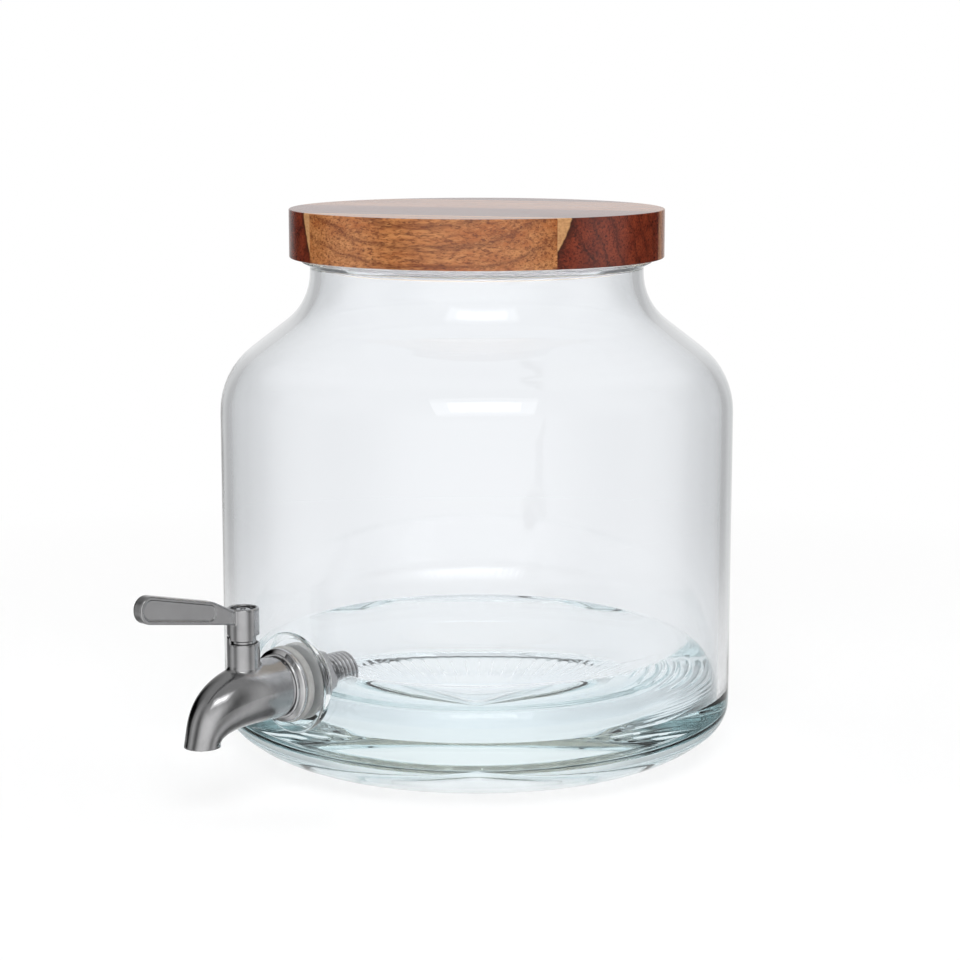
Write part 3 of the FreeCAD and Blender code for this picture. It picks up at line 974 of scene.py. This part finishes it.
glass = glass_material()
light_wood = wood_material(
    "acacia_light", linear(190, 128, 77), linear(161, 93, 48), linear(94, 44, 20),
    tilt=-30, ring_width=8.0 * MM, shift=(0, 0, 0))
warm_wood = wood_material(
    "acacia_warm", linear(194, 138, 96), linear(160, 98, 64), linear(112, 62, 38),
    tilt=55, ring_width=7.0 * MM, shift=(0.3, 0.1, 0.2))
dark_wood = wood_material(
    "acacia_dark", linear(132, 56, 33), linear(100, 36, 20), linear(46, 16, 10),
    tilt=65, ring_width=7.5 * MM, shift=(0.7, 0.4, 0.1), sapwood=True)
brushed_steel = steel_material(
    "brushed_steel", linear(168, 168, 169),
    rough_low=0.11, rough_high=0.18, streak_scale=(500, 500, 120), relief=0.03)
polish = {"rough_low": 0.02, "rough_high": 0.05, "streak_scale": (200, 200, 200), "relief": 0.01}
polished_steel = steel_material("polished_steel", linear(204, 204, 205), **polish)
threaded_steel = steel_material("threaded_steel", linear(204, 204, 205), **polish, threaded=True)
spring_steel = steel_material(
    "spring_steel", linear(150, 148, 146),
    rough_low=0.2, rough_high=0.3, streak_scale=(300, 300, 300), relief=0.08)
# Paler than the silicone's own grey: partly its own colour, partly painted light against the shade between
# the flange and the boss
grey_silicone = soft_material("grey_silicone", linear(160, 160, 158), roughness=0.55, speckle=0.86)
lid_silicone = soft_material("lid_silicone", linear(222, 221, 225), roughness=0.5, speckle=0.92)
black_rubber = soft_material("black_rubber", linear(34, 34, 35), roughness=0.55, speckle=0.8)

dress(make_jar(), "jar", "clear_glass", glass, "glass_jar")

glue_lines = [stave_shift + stave_width * i for i in (-1, 0, 1)]
stave_limits = [None] + glue_lines + [None]
stave_names = ["back", "mid_back", "mid_front", "front"]
stave_woods = [dark_wood, warm_wood, dark_wood, light_wood]
stave_slots = ["acacia_dark", "acacia_light", "acacia_dark", "acacia_light"]
for i, name in enumerate(stave_names):
    board = make_stave(name + "_board", stave_limits[i], stave_limits[i + 1])
    dress(board, "lid", stave_slots[i], stave_woods[i], "lid_" + name + "_stave")

dress(make_gasket(), "lid", "lid_silicone", lid_silicone, "lid_gasket")
dress(make_shank(), "jar", "polished_steel", threaded_steel, "tap_shank")
outer_seal = make_washer("outer_seal", boss_face + washer_face_gap, flange_back)
dress(outer_seal, "jar", "grey_silicone", grey_silicone, "outer_washer")
inner_seal = make_washer("inner_seal", inner_seat_face - washer_thickness, inner_seat_face - washer_face_gap)
dress(inner_seal, "jar", "grey_silicone", grey_silicone, "inner_washer")
spout = make_cast("spout_casting", "tap_body", cast_voxel)
dress(spout, "jar", "brushed_steel", brushed_steel, "tap_body")
lever = make_cast("lever_casting", "lever_handle", lever_voxel)
dress(lever, "lever", "brushed_steel", brushed_steel, "lever_handle")
for node in ("valve_plug", "lock_nut"):
    finish_node(node, brushed_steel)
for node in ("upper_o_ring", "lower_o_ring"):
    finish_node(node, black_rubber)
finish_node("lever_screw", polished_steel)
finish_node("retaining_ring", spring_steel)
